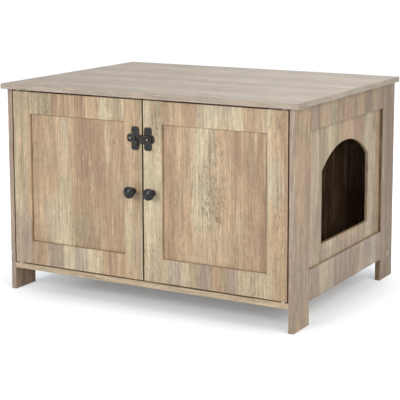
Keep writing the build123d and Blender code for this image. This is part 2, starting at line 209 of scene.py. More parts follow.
# %% Strips
def stretched(tree, place, across, along, detail, **settings):
    """Noise from 0 to 1, about 0.5 on average, whose spots are across mm wide and along mm long."""
    size = (1 / across, 1 / across, 1 / along)
    at = add(tree, "VectorMath", (place, size), operation="MULTIPLY")
    return add(tree, "TexNoise", {"Vector": at, "Scale": 1.0, "Detail": detail, "Roughness": 0.65,
                                  **settings})


def swing_of(tree, place, across, along, detail, reach):
    """Noise from -reach to reach."""
    noise = stretched(tree, place, across, along, detail)
    return add(tree, "Math", (noise, 2 * reach, -reach), operation="MULTIPLY_ADD")


def strips(tree, place, sway, width, low, bands, soft):
    """Colour ramp across a board: each band starts at its own mm and meets the next over soft mm."""
    x = add(tree, "Math", (add(tree, "SeparateXYZ", (place,), out="X"), sway), operation="ADD")
    colour = add(tree, "ValToRGB", (add(tree, "Math", (x, 1 / width), operation="MULTIPLY"),))
    ramp = colour.node.color_ramp
    names = list(bands.values())
    stops = [(0.0, names[0])]
    for start, before, after in zip(list(bands)[1:], names, names[1:]):
        stops += [((start - low - soft / 2) / width, before),
                  ((start - low + soft / 2) / width, after)]
    places = np.maximum.accumulate(np.clip([at for at, _ in stops], 0, 1))
    while len(ramp.elements) < len(stops):
        ramp.elements.new(1.0)
    for stop, at in zip(ramp.elements, places):
        stop.position = at
    for stop, (_, tone) in zip(ramp.elements, stops):
        stop.color = tones[tone]
    return colour


print("strips: one colour ramp across each board")

# %% [markdown]
# Patches lie on the strips: soft spots of another tone, or of saw marks. A saw left short feathered
# strokes on the old wood, all leaning the same way, and the print shows them where it is flecked.

# %% Patches
def spot(tree, place, frayed, centre, half, strength):
    """Soft spot of a strength: a smooth step down over |(p - centre) / half| + fray, 0.6 to 1.5."""
    away = add(tree, "VectorMath", (place, (centre[0], 0, centre[1])), operation="SUBTRACT")
    away = add(tree, "VectorMath", (away, (1 / half[0], 0, 1 / half[1])), operation="MULTIPLY")
    away = add(tree, "VectorMath", (away,), out="Value", operation="LENGTH")
    away = add(tree, "Math", (away, frayed), operation="ADD")
    return add(tree, "MapRange", (away, 0.6, 1.5, strength, 0), interpolation_type="SMOOTHSTEP")


def flecks(tree, place):
    """Short dark feathered saw marks, 3 mm wide, 12 mm long, leaning 14 degrees over the grain."""
    lean = add(tree, "Mapping", {"Vector": place, "Rotation": (0, math.radians(14), 0)})
    marks = stretched(tree, lean, 3.2, 12, 5, Distortion=1.1)
    return add(tree, "MapRange", (marks, 0.44, 0.7), interpolation_type="SMOOTHSTEP")


print("patches: soft spots of a tone or of saw marks")

# %% [markdown]
# Where a sunk panel meets its frame, a thin dark line is painted on the panel: painted shade,
# standing in for the shadow in the recess's corner. It is fainter inside the cabinet.

# %% Painted shade in the corners of a panel
def painted_corner_shade(tree, place, low, high):
    """Share of the painted shade line: most at the frame, and 0 from 2.5 mm inside it.

    The distance is the smallest of those to the four edges of the opening. Most is 0.75 on the
    outer face and 0.3 on the inner one, where the place from the cabinet's middle times the normal
    is below 0.
    """
    x, _, z = add(tree, "SeparateXYZ", (place,)).node.outputs
    nearest = add(tree, "Math", (x, low[0]), operation="SUBTRACT")
    for distance in ((high[0], x), (z, low[1]), (high[1], z)):
        distance = add(tree, "Math", distance, operation="SUBTRACT")
        nearest = add(tree, "Math", (nearest, distance), operation="MINIMUM")
    point, normal = (add(tree, "TexCoord", out=kind) for kind in ("Object", "Normal"))
    outer = add(tree, "VectorMath", (point, normal), out="Value", operation="DOT_PRODUCT")
    most = add(tree, "MapRange", (outer, -0.1, 0.1, 0.3, 0.75))
    return add(tree, "MapRange", (nearest, 0, 2.5, most, 0))


print("corner lines: 2.5 mm wide")

# %% [markdown]
# The last layers are what age gives a plank: slow changes of tone along the grain, saw marks
# everywhere but faint, fine lines, clouds and open pores. Lines and clouds multiply the colour by
# numbers a little under and over 1, and the others lay a tone on it.

# %% Age
def aged(tree, printed, colour, marks, lines, calm, contrast):
    """The colour with its layers of age. Calm scales the changes of tone, contrast the lines."""
    slow = stretched(tree, printed, 13, 210, 4)
    for tone, none, full, most in (("rose", 0.48, 0.3, 0.6), ("cream", 0.52, 0.7, 0.5)):
        share = add(tree, "MapRange", (slow, none, full, 0, most * calm),
                    interpolation_type="SMOOTHSTEP")
        colour = add(tree, "Mix", {0: share, 6: colour, 7: tones[tone]}, data_type="RGBA")
    share = add(tree, "Math", (marks, 0.16 * calm), operation="MULTIPLY")
    colour = add(tree, "Mix", {0: share, 6: colour, 7: tones["umber"]}, data_type="RGBA")
    dark, bright = 1 - 0.32 * contrast, 1 + 0.29 * contrast
    shade = add(tree, "MapRange", (lines, 0.32, 0.68, dark, bright))
    colour = add(tree, "VectorMath", {0: colour, "Scale": shade}, operation="SCALE")
    for across, along, least, most in ((55, 80, 0.88, 1.1), (8, 13, 0.91, 1.09)):
        cloud = stretched(tree, printed, across, along, 3)
        cloud = add(tree, "MapRange", (cloud, 0.3, 0.7, least, most))
        colour = add(tree, "VectorMath", {0: colour, "Scale": cloud}, operation="SCALE")
    pores = stretched(tree, printed, 2.0, 20, 3)
    pores = add(tree, "MapRange", (pores, 0.55, 0.68, 0, 0.5 * contrast))
    return add(tree, "Mix", {0: pores, 6: colour, 7: tones["umber"]}, data_type="RGBA")


print("age: tones, saw marks, lines, clouds and pores")

# %% The foil of one board
def foil(node, bands, patches=(), across="x", grain="z", soft=7.0, calm=1.0, contrast=1.0,
         opening=None, gap_shade_side=None):
    """Printed wood foil for one board, with painted shade on the edge that faces a gap, where that
    side is given.

    Satin melamine paper foil: an even, closed surface with a weak sheen, whose colour is print, with
    painted shade added in panel corners and on door edges in the gaps.
    Along the grain the print wanders by 13 mm to each side, and the strips' edges sway with 0.35 of
    that and fray by up to 17 mm.
    """
    finish, tree = new_finish("wood_foil_" + node)
    start, end = span(node, across)
    bottom = span(node, grain)[0]
    place, printed = board_place(tree, node, across, grain)
    roll_place = 1000.0 * (sum(map(ord, node)) % 97)     # each board is cut from its own place
    printed = add(tree, "VectorMath", (printed, (roll_place,) * 3), operation="ADD")
    wander = swing_of(tree, printed, 45, 300, 2, 13)
    moved = add(tree, "CombineXYZ", (wander,))
    printed = add(tree, "VectorMath", (printed, moved), operation="ADD")
    fibres = swing_of(tree, printed, 5, 150, 4, 17)
    sway = add(tree, "Math", (wander, 0.35, fibres), operation="MULTIPLY_ADD")
    colour = strips(tree, place, sway, end - start, start, bands, soft)

    frayed = swing_of(tree, printed, 9, 50, 4, 1.2)
    marks = flecks(tree, printed)
    for at_across, at_grain, half_across, half_grain, tone, strength in patches:
        centre = (at_across - start, at_grain - bottom)
        share = spot(tree, place, frayed, centre, (half_across, half_grain), strength)
        if tone == "fleck":
            share = add(tree, "Math", (share, marks), operation="MULTIPLY")
        card = tones["umber" if tone == "fleck" else tone]
        colour = add(tree, "Mix", {0: share, 6: colour, 7: card}, data_type="RGBA")

    lines = stretched(tree, printed, 2.8, 110, 5)
    colour = aged(tree, printed, colour, marks, lines, calm, contrast)
    # Painted shade: a thin dark line where a sunk panel meets its frame.
    if opening:
        corners = [(x - start, z - bottom) for x, z in opening]
        share = painted_corner_shade(tree, place, *corners)
        colour = add(tree, "Mix", {0: share, 6: colour, 7: linear("#2E2219")}, data_type="RGBA")
    # Painted shade: the edge that faces a gap round a door is darkened, so that the gap reads dark.
    if gap_shade_side:
        normal = add(tree, "TexCoord", out="Normal")
        facing = add(tree, "VectorMath", (normal, gap_shade_side), out="Value", operation="DOT_PRODUCT")
        share = add(tree, "Math", (facing, 0.5), operation="GREATER_THAN")
        share = add(tree, "Math", (share, 0.9), operation="MULTIPLY")
        colour = add(tree, "Mix", {0: share, 6: colour, 7: linear("#4A321F")}, data_type="RGBA")
    gloss = add(tree, "MapRange", (lines, 0, 1, 0.56, 0.42))
    surface(tree, colour, lines, 0.06 * mm, Roughness=gloss, IOR=1.5)
    board = frame["nodes"][node].data
    board.materials.clear()
    board.materials.append(finish)


print("foil: one finish for each board")

# %% [markdown]
# ## Foil on the doors
#
# The bands give the board's own strips from its low side, in mm across the whole cabinet, and the
# patches give a place across and along the grain, half a width, half a length, a tone and how strong
# it is. Flecked patches sit at the left end of the left door's top rail and in the middle of the
# right door's panel, where the real print has them. The doors' outer edges, which face the gaps round
# the doors, are darkened: painted shade, so that the gaps read as dark lines.

# %% Prints of the doors
door_prints = {
    "left_door_outer_stile": (
        {-372: "clay", -368: "sand", -356: "tan", -349: "moss", -341: "sand", -331: "tan"},
        [(-344, 110, 24, 95, "mauve", 0.9), (-364, 120, 12, 100, "ash", 0.7),
         (-368, 280, 8, 60, "cream", 0.5), (-349, 280, 7, 70, "moss", 0.6)]),
    "left_door_top_rail": (
        {-322: "sand", -302: "moss", -256: "rose", -214: "tan", -188: "rose", -160: "tan",
         -134: "tan", -117: "cream", -102: "sand", -86: "moss", -66: "sand"},
        [(-288, 474, 34, 34, "fleck", 1.0), (-106, 458, 22, 12, "cream", 0.6)]),
    "left_door_panel": (
        {-330: "clay", -304: "tan", -242: "sand", -212: "tan", -196: "clay", -182: "rose",
         -126: "clay", -78: "clay"},
        [(-236, 175, 34, 70, "cream", 0.7), (-268, 180, 22, 60, "ash", 0.5),
         (-150, 235, 60, 60, "clay", 0.8), (-170, 150, 44, 32, "fleck", 0.8),
         (-160, 175, 44, 50, "moss", 0.5), (-150, 385, 40, 60, "rose", 0.5),
         (-160, 330, 16, 70, "fleck", 0.6), (-312, 370, 8, 50, "rose", 0.5),
         (-318, 350, 5, 22, "umber", 0.3), (-75, 300, 16, 70, "tan", 0.5)]),
    "left_door_inner_stile": (
        {-51.5: "tan", -30: "tan", -23: "clay", -10: "moss"},
        [(-44, 235, 12, 60, "cream", 0.55), (-34, 465, 22, 30, "tan", 0.6),
         (-26, 150, 26, 70, "cream", 0.5), (-16, 160, 12, 70, "mauve", 0.4)]),
    "left_door_bottom_rail": (
        {-322: "rose", -312: "clay", -284: "tan", -275: "mauve", -229: "cream", -196: "ash",
         -158: "cream", -128: "sand", -116: "tan", -102: "rose", -88: "clay", -74: "tan"},
        [(-296, 100, 24, 16, "fleck", 0.5), (-250, 98, 30, 20, "moss", 0.4)]),
    "right_door_inner_stile": (
        {1.5: "sand", 7: "cream", 17: "sand", 36: "sand"},
        [(36, 468, 16, 40, "moss", 0.6), (38, 450, 14, 60, "fleck", 0.8),
         (20, 470, 14, 30, "sand", 0.4), (22, 290, 26, 110, "cream", 0.75),
         (18, 120, 20, 44, "fleck", 0.5), (40, 390, 9, 26, "fleck", 0.5)]),
    "right_door_top_rail": (
        {51.5: "clay", 74: "tan", 104: "clay", 144: "sand", 158: "cream", 200: "sand", 233: "cream",
         258: "tan", 282: "tan", 310: "sand"},
        [(168, 478, 22, 24, "ash", 0.4), (60, 495, 16, 10, "fleck", 0.7),
         (212, 490, 24, 14, "ash", 0.6), (246, 470, 14, 30, "cream", 0.6)]),
    "right_door_panel": (
        {44: "clay", 90: "tan", 130: "cream", 172: "sand", 188: "tan", 228: "clay", 256: "tan",
         270: "clay", 298: "rose"},
        [(150, 320, 24, 130, "cream", 0.6), (118, 380, 16, 70, "tan", 0.7),
         (184, 330, 26, 120, "fleck", 0.85), (178, 250, 22, 40, "fleck", 0.8),
         (140, 165, 60, 46, "tan", 0.75), (205, 175, 30, 50, "sand", 0.4),
         (76, 280, 14, 34, "fleck", 0.7), (78, 375, 16, 24, "fleck", 0.7),
         (270, 390, 46, 50, "rose", 0.6), (260, 200, 12, 60, "fleck", 0.6),
         (72, 160, 24, 50, "rose", 0.5), (140, 300, 12, 40, "fleck", 0.4)]),
    "right_door_bottom_rail": (
        {51.5: "sand", 66: "ash", 106: "sand", 134: "moss", 146: "mauve", 178: "clay", 206: "moss",
         216: "mauve", 246: "sand", 284: "sand", 298: "cream"},
        [(160, 98, 16, 40, "mauve", 0.7), (302, 98, 22, 32, "fleck", 0.8),
         (312, 96, 14, 30, "cream", 0.5)]),
    "right_door_outer_stile": (
        {322: "cream", 328: "tan", 346: "tan", 356: "clay"},
        [(342, 330, 20, 56, "ash", 0.7), (352, 245, 12, 80, "fleck", 0.6),
         (326, 340, 6, 60, "cream", 0.6), (326, 130, 8, 70, "cream", 0.6),
         (356, 180, 14, 80, "tan", 0.6), (352, 470, 16, 30, "fleck", 0.5)]),
}
print(len(door_prints), "prints")


# %% Doors
def frame_opening(left, right, lower, upper, across="x"):
    """The opening between four frame boards: its low and high corner in mm, across and up."""
    return ((span(left, across)[1], span(lower, "z")[1]),
            (span(right, across)[0], span(upper, "z")[0]))


# The side of each door board that faces a gap, which gets the painted shade.
outwards = {"outer_stile": (-1, 0, 0), "inner_stile": (1, 0, 0), "top_rail": (0, 0, 1),
            "bottom_rail": (0, 0, -1), "panel": None}
for node, (bands, patches) in door_prints.items():
    side, _, part = node.split("_", 2)
    edge = outwards[part]
    if side == "right" and "stile" in part:
        edge = (-edge[0], 0, 0)
    opening = None
    if part == "panel":
        stiles = ["outer_stile", "inner_stile"][::1 if side == "left" else -1]
        boards = [f"{side}_door_{board}" for board in (*stiles, "bottom_rail", "top_rail")]
        opening = frame_opening(*boards)
        print(side, "door's opening in mm:", np.round(opening, 1).tolist())
    foil(node, bands, patches, soft=8.0 if opening else 5.0, opening=opening, gap_shade_side=edge)

# %% [markdown]
# ## Foil on the carcass
#
# The right side is the one that shows, and its strips are told one by one, like those of the left
# leg, whose inner face shows. The boards that are turned away get strips drawn at random from the
# same tones, 15 to 55 mm wide, with a fixed seed.

# %% Side boards that show
side_prints = {
    "right_front_stile": (
        {-280: "mauve", -272: "clay", -264: "tan", -250: "clay", -240: "tan", -226: "clay",
         -208: "rose"},
        [(-228, 90, 26, 100, "mauve", 0.9), (-264, 90, 20, 80, "mauve", 0.7),
         (-266, 400, 12, 70, "tan", 0.6), (-240, 330, 14, 90, "clay", 0.5)]),
    "right_top_rail": (
        {-200: "rose", -163: "hazel", -150: "clay", -126: "tan", -94: "moss", -58: "rose",
         -10: "clay", 30: "rose", 62: "clay", 104: "rose", 118: "hazel", 162: "moss", 196: "rose"},
        [(-176, 470, 12, 40, "mauve", 0.9), (140, 470, 24, 30, "hazel", 0.6),
         (-40, 476, 40, 10, "fleck", 0.3)]),
    "right_entry_panel": (
        {-208: "tan", -190: "sand", -140: "moss", -108: "sand", -90: "cream", -62: "sand",
         -44: "moss", -26: "tan", 60: "clay", 120: "moss", 138: "sand", 180: "moss", 200: "clay"},
        [(168, 390, 36, 56, "cream", 0.5), (186, 395, 22, 50, "fleck", 0.9),
         (120, 425, 26, 18, "fleck", 0.7), (150, 290, 16, 60, "fleck", 0.5),
         (64, 152, 24, 14, "cream", 0.6), (-172, 220, 26, 90, "mauve", 0.5),
         (40, 142, 60, 12, "mauve", 0.7), (-100, 142, 40, 14, "mauve", 0.5)]),
    "right_bottom_rail": (
        {-200: "mauve", -158: "ash", -142: "ash", -104: "ash", -60: "mauve", -14: "mauve",
         50: "mauve", 98: "ash", 130: "mauve", 160: "ash", 196: "mauve"},
        [(-156, 98, 9, 14, "fleck", 0.9), (-126, 98, 22, 40, "cream", 0.5),
         (60, 98, 30, 30, "rose", 0.4)]),
    # The back stile's umber and hazel are painted shade: for the recess step along its front edge,
    # and for the side growing darker towards the back.
    "right_back_stile": (
        {216: "umber", 226: "hazel", 238: "rose", 250: "hazel"},
        [(262, 200, 30, 150, "rose", 0.2), (276, 300, 24, 200, "umber", 0.35)]),
    "left_front_stile": (
        {-280: "mauve", -264: "rose", -250: "hazel", -232: "rose", -214: "hazel"},
        [(-250, 40, 20, 60, "hazel", 0.5)]),
}


def side_opening(node):
    """The opening in the frame of a side, for that side's panel, and None for any other board."""
    side, part = node.split("_", 1)
    if not part.endswith("panel"):
        return None
    boards = [f"{side}_{board}" for board in ("front_stile", "back_stile", "bottom_rail", "top_rail")]
    return frame_opening(*boards, across="y")


for node, (bands, patches) in side_prints.items():
    foil(node, bands, patches, across="y", opening=side_opening(node))
print(len(side_prints), "side boards that show")


# %% Top, floor and the boards turned away
def random_bands(node, across, seed):
    """Strips from a board's low side to its high side, 15 to 55 mm wide, each of a random tone."""
    low, high = span(node, across)
    draw = np.random.default_rng(seed)
    count = min(14, math.ceil((high - low) / 30))
    starts = low + (high - low) * np.cumsum(np.r_[0, draw.uniform(0.5, 1.5, count - 1) / count])
    shares = {"cream": 0.08, "sand": 0.2, "tan": 0.22, "clay": 0.18, "rose": 0.12, "mauve": 0.08,
              "moss": 0.07, "ash": 0.05}
    names = list(shares)
    return {at: names[draw.choice(len(names), p=list(shares.values()))] for at in starts}


# The top's greige and stone tones are greyer than the rest of the print: a painted sheen, standing in
# for the grazing reflection that greys the top.
top_bands_greyed_for_sheen = {-292: "greige_sheen", -240: "stone_sheen", -185: "greige_sheen", -100: "stone_sheen", -45: "greige_sheen",
             10: "stone_sheen", 75: "greige_sheen", 150: "stone_sheen", 235: "greige_sheen"}
foil("top_panel", top_bands_greyed_for_sheen, across="y", grain="x", soft=40.0, calm=0.4, contrast=0.7)
foil("floor_panel", {-280: "sand", -240: "mauve", -150: "sand", 0: "tan", 120: "mauve"},
     across="y", grain="x", soft=30.0)
# The back panel is given only the dark hazel and umber tones: painted shade for the inside that shows
# through the entry.
foil("back_panel", {-380: "hazel", -210: "umber", -120: "hazel", 60: "umber", 150: "hazel",
                    190: "umber"}, soft=20.0)
turned_away = {"door_stop": "x", "left_back_stile": "y", "left_top_rail": "y",
               "left_bottom_rail": "y", "left_side_panel": "y"}
for seed, (node, across) in enumerate(turned_away.items()):
    foil(node, random_bands(node, across, seed), across=across, opening=side_opening(node))
print(len(turned_away), "boards turned away")

# %% [markdown]
# ## Plain materials
#
# The dowels are beech, the pins, cams and inside screws are zinc-plated steel, and the pivots turn
# in white nylon. They are small or hidden, but each still has its own surface: beech has short
# brown flecks, plating is a little cloudy, and moulded nylon has a faint even skin.

# %% Beech, zinc and nylon
def object_place(tree):
    """The place on any piece in mm."""
    point = add(tree, "TexCoord", out="Object")
    return add(tree, "VectorMath", {0: point, "Scale": 1 / mm}, operation="SCALE")


def beech():
    """Turned beech: pale, close-grained, with short brown ray flecks 1 mm wide and 5 mm long."""
    finish, tree = new_finish("beech_wood")
    place = object_place(tree)
    grain = stretched(tree, place, 3, 40, 3)
    ray = add(tree, "MapRange", (stretched(tree, place, 0.9, 5, 1), 0.6, 0.7, 0, 0.5))
    pale, tan, brown = (linear(card) for card in ("#DDBE93", "#C9A173", "#9A6F45"))
    colour = add(tree, "Mix", {0: grain, 6: pale, 7: tan}, data_type="RGBA")
    colour = add(tree, "Mix", {0: ray, 6: colour, 7: brown}, data_type="RGBA")
    surface(tree, colour, grain, 0.05 * mm, Roughness=0.6, IOR=1.5)
    return finish


def cloudy(name, size, dull, bright, gloss, **settings):
    """A finish of two tones that one noise mixes, with a grain of 0.02 mm.

    Size is the noise's width, length and detail, and gloss is one roughness, or two that go with it.
    """
    finish, tree = new_finish(name)
    cloud = stretched(tree, object_place(tree), *size)
    colour = add(tree, "Mix", {0: cloud, 6: linear(dull), 7: linear(bright)}, data_type="RGBA")
    if isinstance(gloss, tuple):
        gloss = add(tree, "MapRange", (cloud, 0, 1, *gloss))
    surface(tree, colour, cloud, 0.02 * mm, Roughness=gloss, **settings)
    return finish


zinc = cloudy("zinc_plated_steel", (3, 3, 3), "#B9BCBE", "#D3D5D4", (0.22, 0.42), Metallic=1.0)
nylon = cloudy("moulded_nylon", (0.8, 0.8, 2), "#EDEAE2", "#F6F4EE", 0.38, IOR=1.53)
plain = {"dowels": beech(), "hinge_bushes": nylon, "pin": zinc, "cam": zinc, "screw": zinc}
for node, thing in frame["nodes"].items():
    word = next((word for word in plain if word in node), None)
    if word:
        thing.data.materials.clear()
        thing.data.materials.append(plain[word])
print("plain finishes:", *sorted({finish.name for finish in plain.values()}))

# %% [markdown]
# ## Black hammered iron
#
# The latch and the knobs are iron that was pressed to look hand-forged, and coated in black enamel.
# The coat is a dark grey, mottled with paler bluish spots 3 mm wide that are painted highlights for
# the glints on its dents, and it is rubbed brown along the edges.
# The meshes carry an attribute that is 1 at an edge and 0 a few millimetres inside, and the finish
# reads it, so the wear follows the shape. On the rivet the same attribute marks a painted glint on
# its crown.

# %% Iron
def iron(name, coat, mottle_and_glint, wear_and_glint, gloss):
    """Black enamel over pressed iron: a dark coat, mottled with a second colour in spots 3 mm wide,
    which on the black coats is paler: painted highlights for the glints on the dents. The coat is
    rougher and of the third colour where the edges are rubbed, and on the rivet's crown, where that
    colour is a painted glint."""
    finish, tree = new_finish(name)
    place = object_place(tree)
    cloud = stretched(tree, place, 3, 3, 3)
    patchy = add(tree, "MapRange", (cloud, 0.3, 0.6))
    rub_and_glint = add(tree, "Attribute", out="Fac", attribute_name="rub_and_glint")
    rub_and_glint = add(tree, "Math", (rub_and_glint, patchy), operation="MULTIPLY")
    # Painted highlights: the spots of the second colour stand in for glints on the hammered dents.
    spots = add(tree, "MapRange", (cloud, 0.42, 0.66))
    colour = add(tree, "Mix", {0: spots, 6: linear(coat), 7: linear(mottle_and_glint)}, data_type="RGBA")
    colour = add(tree, "Mix", {0: rub_and_glint, 6: colour, 7: linear(wear_and_glint)}, data_type="RGBA")
    orange_peel = stretched(tree, place, 0.7, 0.7, 2)
    sheen = add(tree, "MapRange", (rub_and_glint, 0, 1, gloss, gloss + 0.2))
    surface(tree, colour, orange_peel, 0.04 * mm, Roughness=sheen, IOR=1.5, Specular_IOR_Level=0.3)
    return finish


# The second colour of each coat is the paler mottle that also paints the glints on the dents.
iron_plate = iron("black_iron_plate", "#0B0B0B", "#3B3E3C", "#3E3126", 0.32)
iron_arm = iron("black_iron_arm", "#110E0D", "#2E2624", "#3C2822", 0.4)
iron_knob = iron("black_iron_knob", "#0B0B0B", "#282A2C", "#211B16", 0.26)
print("three coats of black")

# %% [markdown]
# ## Surfaces from grids
#
# Every new piece is a grid of points worked out with numpy. A row of the grid is a closed ring, and
# where a ring shrinks to one point the surface closes. Three kinds are enough here: a lathe shape,
# whose rings are circles, a forged plate, whose rings are shrunk copies of its outline, and a strap,
# whose rings are its side view.

# %% Grid to mesh
def skin(name, grids, finish, body, replaces=(), sharp=40.0):
    """One piece from closed grids of points with the shape (rings, points, 3), plus a value of wear
    and painted glint.

    A quad joins each point with the next one on its ring and the same two on the next ring. Doubles
    at the poles are merged, open ends filled and the normals turned outwards afterwards.
    """
    points, quads, rubs = [], [], []
    for grid, rub_and_glint in grids:
        rings, around = grid.shape[:2]
        index = sum(map(len, points)) + np.arange(rings * around).reshape(rings, around)
        following = np.roll(index, -1, axis=1)
        corners = [index[:-1], following[:-1], following[1:], index[1:]]
        quads.append(np.stack(corners, -1).reshape(-1, 4))
        points.append(grid.reshape(-1, 3))
        rubs.append(np.broadcast_to(rub_and_glint, (rings, around)).ravel())
    mesh = bpy.data.meshes.new(name)
    mesh.from_pydata(np.concatenate(points), [], np.concatenate(quads))
    wear_and_glint = mesh.attributes.new("rub_and_glint", "FLOAT", "POINT")
    wear_and_glint.data.foreach_set("value", np.concatenate(rubs).astype(np.float32))
    work = bmesh.new()
    work.from_mesh(mesh)
    bmesh.ops.remove_doubles(work, verts=work.verts, dist=0.002 * mm)
    open_edges = [edge for edge in work.edges if edge.is_boundary]
    ends = bmesh.ops.holes_fill(work, edges=open_edges)["faces"]
    bmesh.ops.triangulate(work, faces=ends)
    bmesh.ops.recalc_face_normals(work, faces=work.faces)
    work.to_mesh(mesh)
    work.free()
    mesh.shade_smooth()
    mesh.set_sharp_from_angle(angle=math.radians(sharp))
    mesh.materials.append(finish)
    piece = in_scene(name, mesh)
    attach(piece, body)
    if replaces:
        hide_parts(*replaces)
    print(f"{name}: {len(mesh.polygons)} faces on {body}")


# %% Places on the front
front_y = span("left_door_outer_stile", "y")[0]
print("the doors' front faces stand at", round(front_y, 1), "mm")


def on_front(across, up, out, centre, face=front_y):
    """Points in metres from mm: x and z from the centre, and out from a face towards the viewer."""
    return mm * np.stack([centre[0] + across, face - out + 0 * across, centre[1] + up], -1)


def middle(node):
    """The x and z of the middle of a node's box, in mm."""
    return [sum(span(node, axis)) / 2 for axis in "xz"]


# %% [markdown]
# ## Hammer marks
#
# A hammer leaves shallow round dents that overlap. Each dent is a small bowl, depth times
# (1 - (distance / size)^2), and where dents overlap the deeper one shows, which leaves soft ridges
# between them.

# %% Dents
def dents(across, up, half, spacing, depth, seed):
    """Depth of the dents at every point: the largest of depth (1 - (r / size)^2) over all dents."""
    draw = np.random.default_rng(seed)
    count = int(4 * half[0] * half[1] / spacing**2)
    centres = draw.uniform(-1, 1, (count, 2)) * half
    size = draw.uniform(0.8, 1.5, count) * spacing
    deep = draw.uniform(0.4, 1.0, count) * depth
    result = np.zeros(across.shape)
    for (a, b), s, d in zip(centres, size, deep):
        result = np.maximum(result, d * (1 - ((across - a)**2 + (up - b)**2) / s**2))
    return result


line = np.linspace(-10, 10, 81)
print("dents along 20 mm, mm deep:", dents(line, 0 * line, (12, 6), 4.2, 0.5, 0)[::8].round(2))

# %% [markdown]
# ## Knobs
#
# The knob is a mushroom: a foot disc, a thin neck and a wide head with a low dome. Its outline is a
# chain of smooth curves turned round the screw. The dome is dented, and the rim is rubbed.

# %% Profiles
def chain(*parts):
    """Joins (radius, height) pieces of a profile, each part an array with two columns."""
    return np.concatenate([np.asarray(p, float).reshape(-1, 2) for p in parts])


def bend(start, end, steps, bulge):
    """Quarter of an ellipse from start to end: radius goes with sin t and height with 1 - cos t,
    or the other way round where bulge is false."""
    t = np.linspace(0, math.pi / 2, steps)[:, None]
    first, second = (np.sin(t), 1 - np.cos(t)) if bulge else (1 - np.cos(t), np.sin(t))
    (r0, h0), (r1, h1) = start, end
    return np.hstack([r0 + (r1 - r0) * first, h0 + (h1 - h0) * second])


def lathe(profile, around, centre, relief=None, **where):
    """Rings of radius r at height h: (r cos a, r sin a, h), less the relief at each point."""
    angle = np.linspace(0, 2 * math.pi, around, endpoint=False)
    r, h = profile[:, :1], profile[:, 1:]
    across, up = r * np.cos(angle), r * np.sin(angle)
    out = h - (relief(across, up, h) if relief else 0) + 0 * across
    return on_front(across, up, out, centre, **where)


print("a quarter bend of 10 mm:", bend((10, 0), (0, 10), 4, False).round(1).tolist())

# %% Knobs
foot, neck, head = 8.0, 4.4, 14.0            # radii in mm
foot_top, head_low, rim_top, dome_low, crown = 2.0, 16.4, 19.6, 22.9, 27.8      # heights in mm
dome_radius, dents_from = 12.6, 22.0
dome_share = np.linspace(0.04, 1, 22)
knob_profile = chain(
    [(r, 0) for r in (0, 2, 4, 6, 7.6)], bend((7.6, 0), (foot, 0.5), 4, True),
    bend((foot, 1.2), (6.6, foot_top), 5, False), bend((6.2, 2.1), (4.5, 4.6), 8, False),
    [(neck, 6), (neck, 8)], bend((4.5, 10.2), (dome_radius, head_low), 12, False)[1:],
    bend((12.9, 16.6), (head, 18.3), 6, True), [(head, rim_top)],
    bend((head, 20.6), (dome_radius, dome_low), 7, False)[1:],
    np.stack([dome_radius * (1 - dome_share),
              dome_low + (crown - dome_low) * (1 - (1 - dome_share)**2)], 1))


def knob_dents(seed):
    """Dents on the head's face only, fading out over the 3 mm inside the rim."""
    def relief(across, up, h):
        radius = np.hypot(across, up)
        on_face = np.clip((head - 0.6 - radius) / 3, 0, 1) * (h > dents_from)
        return on_face * dents(across, up, (head, head), 4.2, 0.55, seed)
    return relief


knob_rub = np.interp(knob_profile[:, 1], [0, 2, 4, 15, 17, 18, 21, 23, 24],
                     [0.6, 0.8, 0, 0, 0.6, 1, 1, 0.3, 0])[:, None]
for seed, side in enumerate(("left", "right")):
    shape = lathe(knob_profile, 72, middle(side + "_knob"), knob_dents(seed))
    skin(side + "_turned_knob", [(shape, knob_rub)], iron_knob, side + "_door", [side + "_knob"])

# %% [markdown]
# ## Latch plates
#
# A plate is flat iron, 2.5 mm thick, cut to an upright bar with a round lobe at its outer side. The
# outline comes from signed distances: a rounded rectangle has a simple formula for how far a point
# lies outside it, and the smaller of two such distances joins two shapes. A ray from the middle
# finds the outline by halving, and the grid's rings are that outline shrunk towards the middle.
# The distance to the outline also rolls the edge, so it follows every corner.

# %% Outlines
def round_box(a, b, centre, half, corner):
    """Distance outside a rounded rectangle: |max(q, 0)| + min(max(q_a, q_b), 0) - corner,
    where q is |p - centre| - half + corner."""
    qa, qb = np.abs(a - centre[0]) - half[0] + corner, np.abs(b - centre[1]) - half[1] + corner
    outside = np.hypot(np.maximum(qa, 0), np.maximum(qb, 0))
    return outside + np.minimum(np.maximum(qa, qb), 0) - corner


def reach(outside, angle, furthest=60.0):
    """Radius of the outline at each angle: halves the span that the outline lies in, 30 times."""
    near, far = np.zeros_like(angle), np.full_like(angle, furthest)
    for _ in range(30):
        half_way = (near + far) / 2
        inside = outside(half_way * np.cos(angle), half_way * np.sin(angle)) < 0
        near, far = np.where(inside, half_way, near), np.where(inside, far, half_way)
    return near


reached = reach(lambda a, b: round_box(a, b, (0, 0), (10, 5), 2), np.radians([0, 26.6, 90]))
print("a 20 by 10 mm outline reaches", reached.round(2), "mm at 0, 27 and 90 degrees")

# %% [markdown]
# The front of a forged piece is flat but for its dents and its rolled edge, and its back is flat.

